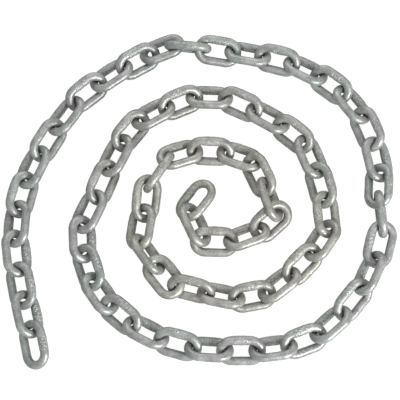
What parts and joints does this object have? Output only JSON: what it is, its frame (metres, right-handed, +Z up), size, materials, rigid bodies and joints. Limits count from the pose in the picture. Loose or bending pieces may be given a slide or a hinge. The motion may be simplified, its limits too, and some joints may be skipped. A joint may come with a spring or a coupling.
{
  "type": "steel chain",
  "caption": "Length of galvanised welded steel chain laid down as a loose flat spiral, for hanging, tying down, towing or fencing off.",
  "frame": {"origin": "middle of the chain's footprint, on the floor that it lies on", "axes": "+Z up off the floor; +X along the longer side of the footprint; +Y across it. The camera of the picture looks down from the -Y side."},
  "size_m": [0.319, 0.2818, 0.0252],
  "materials": {
    "galvanised_steel": "matt hot-dip zinc, mottled light grey, with lumpy welds"
  },
  "bodies": {
    "root": {"link_01": "galvanised_steel", "link_02": "galvanised_steel", "links_03_04": "galvanised_steel", "link_05": "galvanised_steel", "link_06": "galvanised_steel", "link_07": "galvanised_steel", "link_08": "galvanised_steel", "links_09_10": "galvanised_steel", "link_11": "galvanised_steel", "link_12": "galvanised_steel", "link_13": "galvanised_steel", "link_14": "galvanised_steel", "links_15_16": "galvanised_steel", "link_17": "galvanised_steel", "link_18": "galvanised_steel", "link_19": "galvanised_steel", "link_20": "galvanised_steel", "links_21_22": "galvanised_steel", "link_23": "galvanised_steel", "link_24": "galvanised_steel", "link_25": "galvanised_steel", "link_26": "galvanised_steel", "links_27_28": "galvanised_steel", "link_29": "galvanised_steel", "link_30": "galvanised_steel", "link_31": "galvanised_steel", "link_32": "galvanised_steel", "links_33_34": "galvanised_steel", "link_35": "galvanised_steel", "link_36": "galvanised_steel", "link_37": "galvanised_steel", "link_38": "galvanised_steel", "links_39_40": "galvanised_steel", "link_41": "galvanised_steel", "link_42": "galvanised_steel", "link_43": "galvanised_steel", "link_44": "galvanised_steel", "links_45_46": "galvanised_steel", "link_47": "galvanised_steel", "link_48": "galvanised_steel", "link_49": "galvanised_steel", "link_50": "galvanised_steel", "links_51_52": "galvanised_steel", "link_53": "galvanised_steel", "link_54": "galvanised_steel", "link_55": "galvanised_steel", "link_56": "galvanised_steel", "links_57_58": "galvanised_steel", "link_59": "galvanised_steel", "link_60": "galvanised_steel", "link_61": "galvanised_steel", "link_62": "galvanised_steel", "links_63_64": "galvanised_steel", "link_65": "galvanised_steel", "link_66": "galvanised_steel", "link_67": "galvanised_steel", "link_68": "galvanised_steel", "links_69_70": "galvanised_steel", "link_71": "galvanised_steel", "link_72": "galvanised_steel"}
  },
  "joints": []
}
